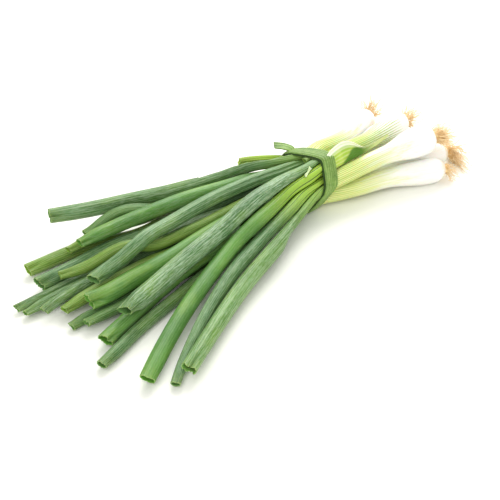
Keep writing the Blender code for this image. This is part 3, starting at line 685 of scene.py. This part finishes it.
def leaf_finish(name, look, seed, bloom_and_highlight, warm, warm_reach):
    """Dull leaf: pale lines along it, uneven colour, dashes of whitish bloom that is partly painted highlight,
    thin folds at the tie painted dark as shade in their creases.

    The inside of the tube is pale and moist at the cut and painted darker further in, as shade within the tube.
    """
    deep, main, streak = GREENS[look]
    lined = 0.45 if look == "bright_green" else 1.0
    f = Finish(name)
    uneven = f.noise(0.12, 0.022, 3.0, seed)
    broad = f.noise(0.09, 0.03, 2.0, seed + 17.0)
    lines = f.noise(0.7, 0.01, 3.0, seed + 3.0)
    dashes = f.noise(2.1, 0.19, 3.0, seed + 11.0)
    specks = f.noise(1.4, 0.8, 3.0, seed + 7.0)
    turned = f.around() * (2 * np.pi)
    veins = (turned * 22.0 + uneven * 5.0).sine() * 0.5 + 0.5
    folds = ((turned * 7.0 + uneven * 2.5).sine() * 0.5 + 0.5) ** 26.0
    away, behind = f.along(), f.field("behind")
    marks = lines.step(0.48, 0.72) * 0.35 + veins**3.0 * 0.3 + (dashes - 0.5) * 0.7
    # whitish film: partly the leaves' real waxy bloom, partly painted highlight
    bloom_and_highlight_film = uneven.step(0.26, 0.7) * 0.3 + dashes.step(0.4, 0.66) * 0.62 + lines.step(0.4, 0.72) * 0.35
    bloom_and_highlight_film = (bloom_and_highlight_film - 0.27).held() * (away.step(6.0, 45.0) * 0.7 + 0.3) * bloom_and_highlight
    at_tie = 1.0 - away.step(warm_reach * 0.15, warm_reach)
    # inside of the tube: pale at the cut, painted darker further in as shade within the tube
    inside_painted_shade = f.mix(behind.step(0.5, 11.0), tuple(1.6 * c for c in main), tuple(0.8 * c for c in deep))
    colour = f.over(
        f.mix(uneven.step(0.3, 0.7), deep, main),
        (broad.step(0.52, 0.7) * 0.45, (0.1, 0.23, 0.085)),
        ((1.0 - broad.step(0.32, 0.48)) * 0.45, (0.185, 0.33, 0.035)),
        ((1.0 - veins) ** 3.0 * (0.4 * lined), deep),
        ((marks * lined + (specks - 0.5) * 0.35).held(), streak),
        (bloom_and_highlight_film * 0.7, (0.48, 0.6, 0.44)),
        ((at_tie * warm * (0.65 + lines * 0.6)).held(), (0.36, 0.56, 0.05)),
        # thin fold lines near the tie, painted dark as shade in their creases
        ((folds * at_tie * warm * 1.2).held(), (0.035, 0.085, 0.012)),
        ((1.0 - behind.step(1.0, 12.0)) * specks.step(0.35, 0.65) * 0.35, (0.24, 0.34, 0.05)),
        ((1.0 - behind.step(0.0, 0.6)) * specks.step(0.3, 0.6) * 0.6, (0.36, 0.5, 0.16)),
        (f.field("inside").step(0.5, 1.0), inside_painted_shade),
    )
    height = (veins * 0.45 + lines + dashes * 0.5) * lined + specks * 0.3 - folds * at_tie * warm * 1.5
    f.bump(height, 0.00035, 0.6)
    rough = 0.44 + bloom_and_highlight_film * 0.2 + (lines - 0.5) * 0.2
    return f.feed(colour, rough.held(), 0.08, 0.0015, 1.4)


def bulb_finish(number):
    """Moist white bulb that turns into a pale yellow-green neck with fine green lines."""
    striped, reach = {3: (1.5, 1.17), 2: (0.8, 0.78), 1: (0.6, 0.75), 4: (0.9, 0.9)}.get(number, (0.5, 0.8))
    neck = (0.52, 0.61, 0.13) if number == 3 else (0.73, 0.77, 0.31)
    f = Finish(f"bulb_and_neck_{number}_skin")
    ripe = f.field("ripe")
    uneven = f.noise(0.16, 0.03, 3.0, number * 3.1)
    lines = f.noise(0.85, 0.008, 3.0, number * 1.7)
    veins = (f.around() * (2 * np.pi * 30) + uneven * 3.0).sine() * 0.5 + 0.5
    green = 1.0 - (ripe + (uneven - 0.5) * 0.5 + (lines - 0.5) * 0.7).step(0.3, 0.95)
    fresh = (1.0 - (ripe + (lines - 0.5) * 0.5).step(reach - 0.55, reach)) * striped
    dry = (ripe - 1.66 + (uneven - 0.5) * 0.2 + (lines - 0.5) * 0.3).step(0.0, 0.25)
    colour = f.over(
        f.mix(green, (0.91, 0.9, 0.86), neck),
        ((fresh * (veins**3.0 * 1.1 + lines.step(0.45, 0.65) * 0.45)).held(), (0.33, 0.47, 0.05)),
        (dry * 0.55, (0.72, 0.56, 0.3)),
        (lines.step(0.5, 0.75) * 0.3 * (1.0 - green), (0.84, 0.82, 0.68)),
    )
    f.bump(veins * 0.5 + lines * 0.8, 0.0003, 0.5)
    return f.feed(colour, (0.3 + (lines - 0.5) * 0.15).held(), 0.25, 0.003, 1.42)


def root_finish():
    """Dull tan fibres, paler where they are fresh."""
    f = Finish("root_fibre_skin")
    colour = f.mix(f.spots(260.0, 2.0).step(0.35, 0.65), (0.76, 0.48, 0.18), (0.96, 0.75, 0.42))
    colour = f.mix(f.field("tip") * 0.5, colour, (0.96, 0.8, 0.54))
    f.bump(f.spots(1500.0, 2.0), 0.0001, 0.4)
    return f.feed(colour, 0.75)


def tie_finish(look, rough):
    """Flattened leaf with folds along it, painted darker in the folds as shade in their creases, and paler
    towards its membranous edge.
    """
    deep, main, streak = GREENS[look]
    f = Finish(look + "_skin")
    across = f.around()
    uneven, fine = f.spots(90.0), f.spots(900.0)
    lines = (across * (2 * np.pi * 6) + uneven * 6.0).sine() * 0.5 + 0.5
    flow = f.node("CombineXYZ", {}, {0: across * 13.0, 1: f.along() * 0.012})
    thin = f.node("TexNoise", {}, {"Vector": flow, "Scale": 1.0, "Detail": 3.0}).step(0.35, 0.65)
    colour = f.over(
        f.mix(uneven.step(0.35, 0.7), deep, main),
        # painted shade in the fold lines
        ((1.0 - lines) ** 6.0 * 0.55, deep),
        ((lines * 0.3 + thin**2.0 * 0.25 + (fine - 0.5) * 0.9).held(), streak),
        (f.field("edge"), (0.78, 0.82, 0.54)),
    )
    f.bump(lines * 0.9 + thin * 0.5 + fine * 0.6, 0.0004, 0.6)
    return f.feed(colour, rough, 0.05, 0.001, 1.4)


def scoop_finish():
    """Yellow-green inner face with pale lines and a whitish rim, running out into a strip in the groove,
    painted dark green as the groove's shade, that fades.
    """
    f = Finish("tie_scoop_skin")
    across, away, uneven = f.around(), f.along(), f.spots(110.0)
    thin = (across * (2 * np.pi * 13) + uneven * 3.0).sine() * 0.5 + 0.5
    groove_shade_share = ((away - 12.0) / 60.0 - across + uneven * 0.06).step(0.0, 0.08)
    pale = (f.field("edge") * (0.7 + thin * 0.5)).held()
    colour = f.over(
        f.mix(uneven.step(0.35, 0.65), (0.34, 0.53, 0.045), (0.48, 0.64, 0.085)),
        (thin**2.0 * 0.5, (0.7, 0.78, 0.34)),
        # painted shade: the strip in the groove between two necks is darkened as its shade
        (groove_shade_share, (0.1, 0.24, 0.022)),
        (pale * (1.0 - groove_shade_share * 0.7), (0.86, 0.89, 0.7)),
        (away.step(38.0, 54.0) * 0.85, (0.66, 0.72, 0.27)),
    )
    f.bump(thin * 0.8 + uneven * 0.5, 0.0003, 0.6)
    return f.feed(colour, 0.45, 0.15, 0.0015, 1.4)


def skin_near_tie(strands, reach):
    """Points of the strands' skins within reach of the tie's middle plane along X."""
    found = []
    for strand in strands:
        skin = strand["skin"][:14]
        for part in np.linspace(0, 1, 3):
            points = (skin[:-1] * (1 - part) + skin[1:] * part).reshape(-1, 3)
            near = np.abs(points[:, 0] - lean(points[:, 1], points[:, 2])) < reach
            found.append(points[near])
    return np.concatenate(found)


def outline_round(points, turns, gap):
    """Corners of the tight outline round (Y, Z) points, one between each two turns."""
    normal = np.stack([np.cos(turns), np.sin(turns)], -1)
    reach = (points[:, 1:] @ normal.T).max(0) + gap
    after = np.roll(normal, -1, 0)
    reach_after = np.roll(reach, -1)
    cross = normal[:, 0] * after[:, 1] - normal[:, 1] * after[:, 0]
    y = (reach * after[:, 1] - reach_after * normal[:, 1]) / cross
    z = (reach_after * normal[:, 0] - reach * after[:, 0]) / cross
    return np.stack([y, z], -1)


def band(name, strands, low, high, shift, width, seed, finish):
    """Band of the tie: a flattened leaf wound once round the necks, between two heights above their outline.

    Its middle line is the outline of the necks, smoothed. Across its width the band is crowned, thin at the
    edges and pressed into a few folds whose depth comes and goes round it.
    """
    rng = np.random.default_rng(seed)
    turns = full_turn(BAND_SIDES)
    outline = outline_round(skin_near_tie(strands, TIE_WIDTH / 2 + 1.0), turns[::5], 0.0)
    line = []
    for values in outline.T:
        fine = np.interp(np.arange(BAND_SIDES) / 5.0, np.arange(len(values) + 1), np.append(values, values[0]))
        line.append(np.convolve(np.concatenate([fine[-14:], fine, fine[:14]]), bell(14, 5.0), "valid"))
    line = np.stack(line, -1)
    step = unit(np.roll(line, -1, 0) - np.roll(line, 1, 0))
    normal = np.stack([step[:, 1], -step[:, 0]], -1)
    columns = np.linspace(-1, 1, BAND_COLUMNS)
    crown = (1 - columns**2) * 0.25 - 0.55 * np.abs(columns) ** 8
    folds = np.zeros((BAND_SIDES, BAND_COLUMNS))
    for _ in range(5):
        at = rng.uniform(-0.85, 0.85) + 0.12 * np.sin(turns + phase(rng))
        deep = rng.uniform(0.15, 0.42) * (0.5 + 0.5 * np.sin(turns * rng.integers(1, 3) + phase(rng)))
        folds += deep[:, None] * np.exp(-(((columns[None] - at[:, None]) / 0.06) ** 2))
    top = high + crown[None] - folds
    under = np.full(top.shape, low)
    waist = width / 2 * (1 - 0.16 * ease(-normal[:, 1]) - 0.3 * ease(normal[:, 0]))
    edge = 1 + 0.03 * np.sin(turns * 5 + phase(rng)) + 0.02 * np.sin(turns * 9 + phase(rng))
    rows = []
    for height, order in ((top, slice(None)), (under, slice(None, None, -1))):
        yz = line[:, None] + normal[:, None] * height[..., None]
        yz[..., 1] = np.maximum(yz[..., 1], 0.02)
        x = lean(yz[..., 0], yz[..., 1]) + shift + columns[None] * (waist * edge)[:, None]
        rows.append(np.concatenate([x[..., None], yz], -1)[:, order])
    rings = np.concatenate(rows, 1)
    count, sides = rings.shape[:2]
    index = np.arange(count * sides).reshape(count, sides)
    right, ahead = np.roll(index, -1, 1), np.roll(index, -1, 0)
    quads = np.stack([index, ahead, np.roll(ahead, -1, 1), right], -1).reshape(-1, 4)
    across = np.concatenate([(columns + 1) / 2, (columns[::-1] + 1) / 2])
    u0 = np.broadcast_to(across, (count, sides))
    u1 = np.broadcast_to(np.roll(across, -1), (count, sides))
    v0 = np.broadcast_to(np.arange(count)[:, None] / count, (count, sides))
    uv = corners(u0, u1, v0, v0 + 1.0 / count)
    points = rings.reshape(-1, 3)
    if inside_out(points, quads):
        quads, uv = quads[:, ::-1], uv[:, ::-1]
    return put_mesh(name, points, quads.tolist(), uv.reshape(-1, 2), {"edge": np.zeros(len(points))}, finish)


def strip(name, middle, thickness, edge, finish):
    """Closed strip of leaf: middle points (station, column, 3), thickened along the local normal."""
    normal = unit(np.cross(np.gradient(middle, axis=0), np.gradient(middle, axis=1)))
    half = (thickness / 2)[..., None] * normal
    rings = np.concatenate([middle + half, (middle - half)[:, ::-1]], 1)
    fields = {"edge": np.concatenate([edge, edge[:, ::-1]], 1)}
    return closed_skin(name, rings, np.arange(len(middle)) * 1.0, fields, finish)


def clear_of(points, strands, distance):
    """Push points out of the necks and leaves until each is at least distance from their skins."""
    points = np.array(points, float)
    for _ in range(12):
        for strand in strands:
            near, along, square = nearest_on(strand, points)
            offset = square_to(points - near, along)
            apart = np.sqrt((offset**2).sum(-1, keepdims=True)) + 1e-6
            want = np.sqrt(np.maximum(square, 0.0))[..., None] + distance
            want = np.where(square[..., None] > 0, want, 0.0)
            points += offset / apart * np.clip(want - apart, 0.0, 2.0)
    return points


def refined(rows, count):
    """Rows of points along the first axis, made finer with a smooth curve through them (Catmull-Rom)."""
    rows = np.asarray(rows, float)
    at = np.linspace(0, len(rows) - 1, count)
    i = np.minimum(at.astype(int), len(rows) - 2)
    t = (at - i).reshape((-1,) + (1,) * (rows.ndim - 1))
    b, c = rows[i], rows[i + 1]
    a = np.where((i > 0).reshape(t.shape), rows[np.maximum(i - 1, 0)], 2 * b - c)
    d = np.where((i < len(rows) - 2).reshape(t.shape), rows[np.minimum(i + 2, len(rows) - 1)], 2 * c - b)
    return smooth_step(a, b, c, d, t)


def tie_tail(strands, top, finish):
    """Cut end of the tie, which comes out from its far side and points away over the leaves."""
    path = np.array([(7.0, 15.2, -4.8), (8.2, 17.0, -2.2), (4.5, 21.5, -0.3), (-0.5, 27.0, 0.0)])
    path[:, 2] += top + 0.65
    side = np.array([(1.0, 0.0, 0.0), (0.92, 0.38, 0.0), (0.75, 0.66, -0.06), (0.64, 0.76, -0.1)])
    half = np.array([3.2, 3.9, 4.6, 5.0])
    columns = np.linspace(-1, 1, 15)
    middle = path[:, None] + columns[None, :, None] * half[:, None, None] * side[:, None]
    leaves = [s for s in strands if s["leaf"]]
    middle[1:] = clear_of(middle[1:], leaves, 1.0)
    middle = refined(middle, 40)
    curl = np.linspace(0, 1, len(middle))[:, None]
    middle[..., 2] += curl * (0.9 * columns[None] ** 2 + 0.35 * np.sin(columns[None] * 7.0))
    ragged = (np.sin(columns * 9.0) * 0.35)[None, :, None] * np.linspace(0, 1, 6)[:, None, None]
    middle[-6:] += ragged * np.array([-0.6, 0.7, 0])
    shape = middle.shape[:2]
    return strip("tie_tail", middle, np.full(shape, 0.9), np.zeros(shape), finish)


def tie_scoop(strands, finish):
    """Other end of the tie, which leans on one neck, stands up above it and narrows to a strip in the groove.

    At each X there is a curve through a low, a middle and a rim point, given as Y and Z.
    """
    stations = (
        (20.0, (-17.4, 32.6), (-14.3, 38.0), (-9.6, 42.4)),
        (26.0, (-16.0, 32.2), (-12.8, 38.6), (-8.6, 44.6)),
        (33.0, (-15.8, 31.4), (-12.0, 39.0), (-7.8, 45.8)),
        (40.0, (-15.6, 31.4), (-12.0, 39.0), (-8.6, 46.2)),
        (46.0, (-15.6, 31.8), (-12.6, 38.4), (-12.4, 44.4)),
        (51.0, (-15.8, 32.4), (-13.8, 36.6), (-15.4, 40.6)),
        (57.0, (-16.2, 33.2), (-14.8, 35.0), (-15.2, 37.2)),
        (68.0, (-16.8, 35.0), (-15.6, 35.8), (-14.8, 37.0)),
        (81.0, (-16.8, 38.0), (-16.2, 38.4), (-15.6, 38.9)),
    )
    t = np.linspace(0, 1, 17)
    middle = []
    for x, low, half, rim in stations:
        curve = np.outer((1 - t) * (1 - 2 * t), low) + np.outer(4 * t * (1 - t), half)
        curve += np.outer(t * (2 * t - 1), rim)
        middle.append(np.column_stack([np.full(len(t), x), curve]))
    necks = [s for s in strands if not s["leaf"]]
    middle = np.array(middle)
    middle[1:] = clear_of(middle[1:], necks, 0.9)
    middle = refined(middle, 60)
    edge = np.repeat(ease((t[None] - 0.6) / 0.3), len(middle), 0)
    thickness = np.repeat(0.75 - 0.45 * ease((t[None] - 0.7) / 0.3), len(middle), 0)
    return strip("tie_scoop", middle, thickness, edge, finish)


def between(ring, next_ring, after, next_after):
    """Quads from each ring of a tube to the next, by the points' numbers and those of the points after them."""
    return np.stack([ring, after, next_after, next_ring], -1).reshape(-1, 4)


def root_paths(strand, rng):
    """Middle lines of a bulb's roots, as one array: a brush that spreads, curls and droops on to the floor."""
    count, length, wide, drift, _ = ROOTS[strand["onion"]]
    end, along = on_line(strand, np.array([strand["end"]]))
    end, along = end[0], along[0]
    side = unit(np.cross(along, (0, 0, 1.0)))
    up = np.cross(side, along)
    steps = np.linspace(0, 1, 11)[None, :, None]
    turn = rng.uniform(0, 2 * np.pi, count)
    out = np.sqrt(rng.uniform(0.0, 1.0, count))
    spread = np.cos(turn)[:, None] * side + np.sin(turn)[:, None] * up
    start = end + along * (GAP + 0.6) + spread * (out * (PLATE_RADIUS - 0.6))[:, None]
    heading = along + spread * (wide * out * rng.uniform(0.2, 1.0, count))[:, None]
    size = rng.uniform(0.45, 1.0, count) * length
    bend = rng.normal(0, 2.4, (count, 3))
    paths = start[:, None] + heading[:, None] * size[:, None, None] * steps + bend[:, None] * steps**2
    paths = paths + np.array(drift) * steps**2
    curl_a, curl_b = rng.normal(0, 1, (2, count, 3))
    waves = rng.uniform(3.0, 8.0, count)[:, None, None]
    curls = np.sin(waves * steps) * curl_a[:, None] + np.cos(waves * steps) * curl_b[:, None]
    paths = paths + 1.3 * steps * curls
    floor = 0.35 + 0.9 * rng.uniform(0, 1, (count, 1)) ** 3
    low = paths[..., 2] < floor
    paths[..., 2] = np.where(low, floor, paths[..., 2])
    return paths, end, along, side, up


def roots_piece(strand, finish):
    """Root plate and its fibres: each fibre is a thin tapering tube of four sides along its path."""
    number = strand["onion"]
    rng = np.random.default_rng(500 + number)
    count, girth = ROOTS[number][0], ROOTS[number][4]
    paths, end, along, side, up = root_paths(strand, rng)
    tangent = unit(np.gradient(paths, axis=1))
    first = unit(np.cross(tangent, (0.3, 0.2, 1.0)))
    second = np.cross(tangent, first)
    turns = full_turn(4)
    stations = paths.shape[1]
    taper = np.linspace(1.0, 0.35, stations)[None, :] * (girth * rng.uniform(0.7, 1.3, count))[:, None]
    ring = np.cos(turns)[:, None] * first[:, :, None] + np.sin(turns)[:, None] * second[:, :, None]
    tubes = paths[:, :, None] + ring * taper[..., None, None]
    points = tubes.reshape(-1, 3)
    index = np.arange(len(points)).reshape(count, stations, 4)
    after = np.roll(index, -1, 2)
    quads = between(index[:, :-1], index[:, 1:], after[:, :-1], after[:, 1:])
    caps = np.concatenate([index[:, 0, ::-1], index[:, -1]])
    turns = full_turn(PLATE_SIDES)
    circle = np.cos(turns)[:, None] * side + np.sin(turns)[:, None] * up
    depths = np.array([0.15, 0.7, 1.4, 2.0, PLATE_THICKNESS])
    widths = np.array([3.2, 3.6, 3.5, 2.9, 1.6])
    plate = (end + along * depths[:, None, None] + circle * widths[:, None, None]).reshape(-1, 3)
    plate_index = len(points) + np.arange(len(plate)).reshape(-1, PLATE_SIDES)
    plate_after = np.roll(plate_index, -1, 1)
    plate_quads = between(plate_index[:-1], plate_index[1:], plate_after[:-1], plate_after[1:])
    faces = quads.tolist() + caps.tolist() + plate_quads.tolist()
    faces += [plate_index[0, ::-1].tolist(), plate_index[-1].tolist()]
    tip = np.concatenate([np.tile(np.repeat(np.linspace(0, 1, stations), 4), count), np.zeros(len(plate))])
    points = np.concatenate([points, plate])
    loops = sum(len(face) for face in faces)
    piece = put_mesh(f"roots_{number}", points, faces, np.zeros((loops, 2)), {"tip": tip}, finish)
    return place(piece, "root_fibre", f"onion_{number}_roots")


def membrane(strands, finish):
    """Torn bit of thin white sheath that stands out between two leaves beside the tie."""
    t = np.linspace(0, 1, 24)[:, None]
    c = np.linspace(-1, 1, 9)[None]
    start = np.array([2.6, -9.4, 37.0])
    way = np.array([-9.5, -4.3, -1.6])
    middle = start + t[..., None] * way + (c * (1.9 - 1.2 * t))[..., None] * np.array([0.41, -0.8, -0.44])
    middle[..., 2] += 0.5 * np.sin(t * 5.0) + 0.25 * c**2
    middle = clear_of(middle, [s for s in strands if s["leaf"]], 0.7)
    shape = middle.shape[:2]
    piece = strip("sheath_membrane", middle, np.full(shape, 0.35), np.full(shape, 0.5), finish)
    return place(piece, "pale_leaf")


def stump(strands, finish):
    """Cut stump of a small leaf beside the tie: a short hollow tube that widens to its cut.

    A profile of distances and radii is turned round the stump's middle line, with the cut's edge wavy.
    """
    start, tip = np.array([12.7, -0.1, 39.0]), np.array([6.2, 0.2, 38.0])
    way = tip - start
    length = np.linalg.norm(way)
    way /= length
    side = unit(np.cross(way, (0, 0, 1.0)))
    up = np.cross(side, way)
    shares = np.array([0.0, 0.3, 0.6, 0.85, 1.0, 1.03, 1.0, 0.8, 0.55])
    radii = np.array([2.0, 2.3, 2.6, 3.0, 3.1, 2.8, 2.2, 1.5, 1.1])
    turns = full_turn(24)
    wavy = 1 + 0.12 * np.sin(3 * turns + 0.8) * shares[:, None]
    circle = np.cos(turns)[:, None] * side + np.sin(turns)[:, None] * up
    middle = start + way * (shares * length)[:, None]
    rings = middle[:, None] + (radii[:, None] * wavy)[..., None] * circle
    rings = clear_of(rings, [s for s in strands if s["leaf"]], 0.3)
    fields = {"grain": rings, "inside": ring_values((np.arange(9) > 5) * 1.0, turns),
              "behind": ring_values(np.abs(1.0 - shares) * length, turns)}
    return place(closed_skin("leaf_stump", rings, shares * length, fields, finish), "olive_leaf")


def floor_and_light():
    """Pale floor, a bright even surrounding, and one large soft light from behind and above."""
    bpy.ops.mesh.primitive_plane_add(size=6.0, location=(0, 0, -0.0002))
    floor = bpy.context.object
    floor.name = "floor"
    f = Finish("floor_white")
    floor.data.materials.append(f.feed((0.95, 0.945, 0.875, 1.0), 0.7))
    world = bpy.data.worlds.new("studio")
    bpy.context.scene.world = world
    world.use_nodes = True
    world.node_tree.nodes["Background"].inputs["Color"].default_value = (1.0, 1.0, 1.0, 1.0)
    world.node_tree.nodes["Background"].inputs["Strength"].default_value = 0.89
    for name, at, size, power in LIGHTS:
        light = bpy.data.lights.new(name, "AREA")
        light.size = size
        light.energy = power
        lamp = bpy.data.objects.new(name, light)
        lamp.location = at
        lamp.rotation_euler = (-Vector(at)).to_track_quat("-Z", "Y").to_euler()
        bpy.context.scene.collection.objects.link(lamp)


def camera():
    """Long lens from the leaf side, above and to the left of the bunch."""
    eye = bpy.data.objects.new("camera", bpy.data.cameras.new("camera"))
    bpy.context.scene.collection.objects.link(eye)
    eye.location = (-0.6171, -0.6301, 0.5981)
    eye.rotation_euler = (np.radians(54.0), 0.0, np.radians(-42.0))
    eye.data.sensor_width = 36.0
    eye.data.lens = 99.0
    eye.data.clip_end = 20.0
    bpy.context.scene.camera = eye


def main():
    strands = [onion_strand(number) for number in ONIONS] + [leaf_strand(*leaf) for leaf in LEAVES]
    settle(strands)
    for strand in strands:
        if strand["leaf"]:
            onion, leaf = key = (strand["onion"], strand["number"])
            name, seed = f"leaf_{onion}_{leaf}_skin", onion * 5.3 + leaf * 2.1
            finish = leaf_finish(name, strand["look"], seed, BLOOM_AND_HIGHLIGHT.get(key, 0.15), *WARM.get(key, (0.12, 40.0)))
            leaf_piece(strand, strands, finish)
        else:
            onion_piece(strand, strands, bulb_finish(strand["onion"]))
    fibre = root_finish()
    for strand in strands:
        if not strand["leaf"]:
            roots_piece(strand, fibre)
    tie_skin, painted_shade_ply_skin = tie_finish("tie_leaf", 0.48), tie_finish("tie_painted_shade", 0.9)
    scoop_skin = scoop_finish()
    place(band("tie_band", strands, 1.0, 1.75, 0.0, TIE_WIDTH, 7, tie_skin), "tie_leaf", "tie_leaf")
    # inner ply: a near-black sheet under the band, shifted towards the leaves, that paints the shade of the gap
    # between the tie and the leaves
    place(band("tie_shade_ply", strands, 0.15, 0.85, -1.7, TIE_WIDTH - 1.2, 9, painted_shade_ply_skin), "tie_leaf")
    top = outline_round(skin_near_tie(strands, 6.0), full_turn(40), 0.3)[:, 1].max()
    place(tie_tail(strands, top, tie_skin), "tie_leaf")
    place(tie_scoop(strands, scoop_skin), "tie_leaf")
    membrane(strands, scoop_skin)
    stump(strands, leaf_finish("leaf_stump_skin", "olive", 4.4, 0.5, 0.0, 40.0))
    floor_and_light()
    camera()
    bpy.context.scene.view_settings.view_transform = "Standard"
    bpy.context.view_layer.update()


main()
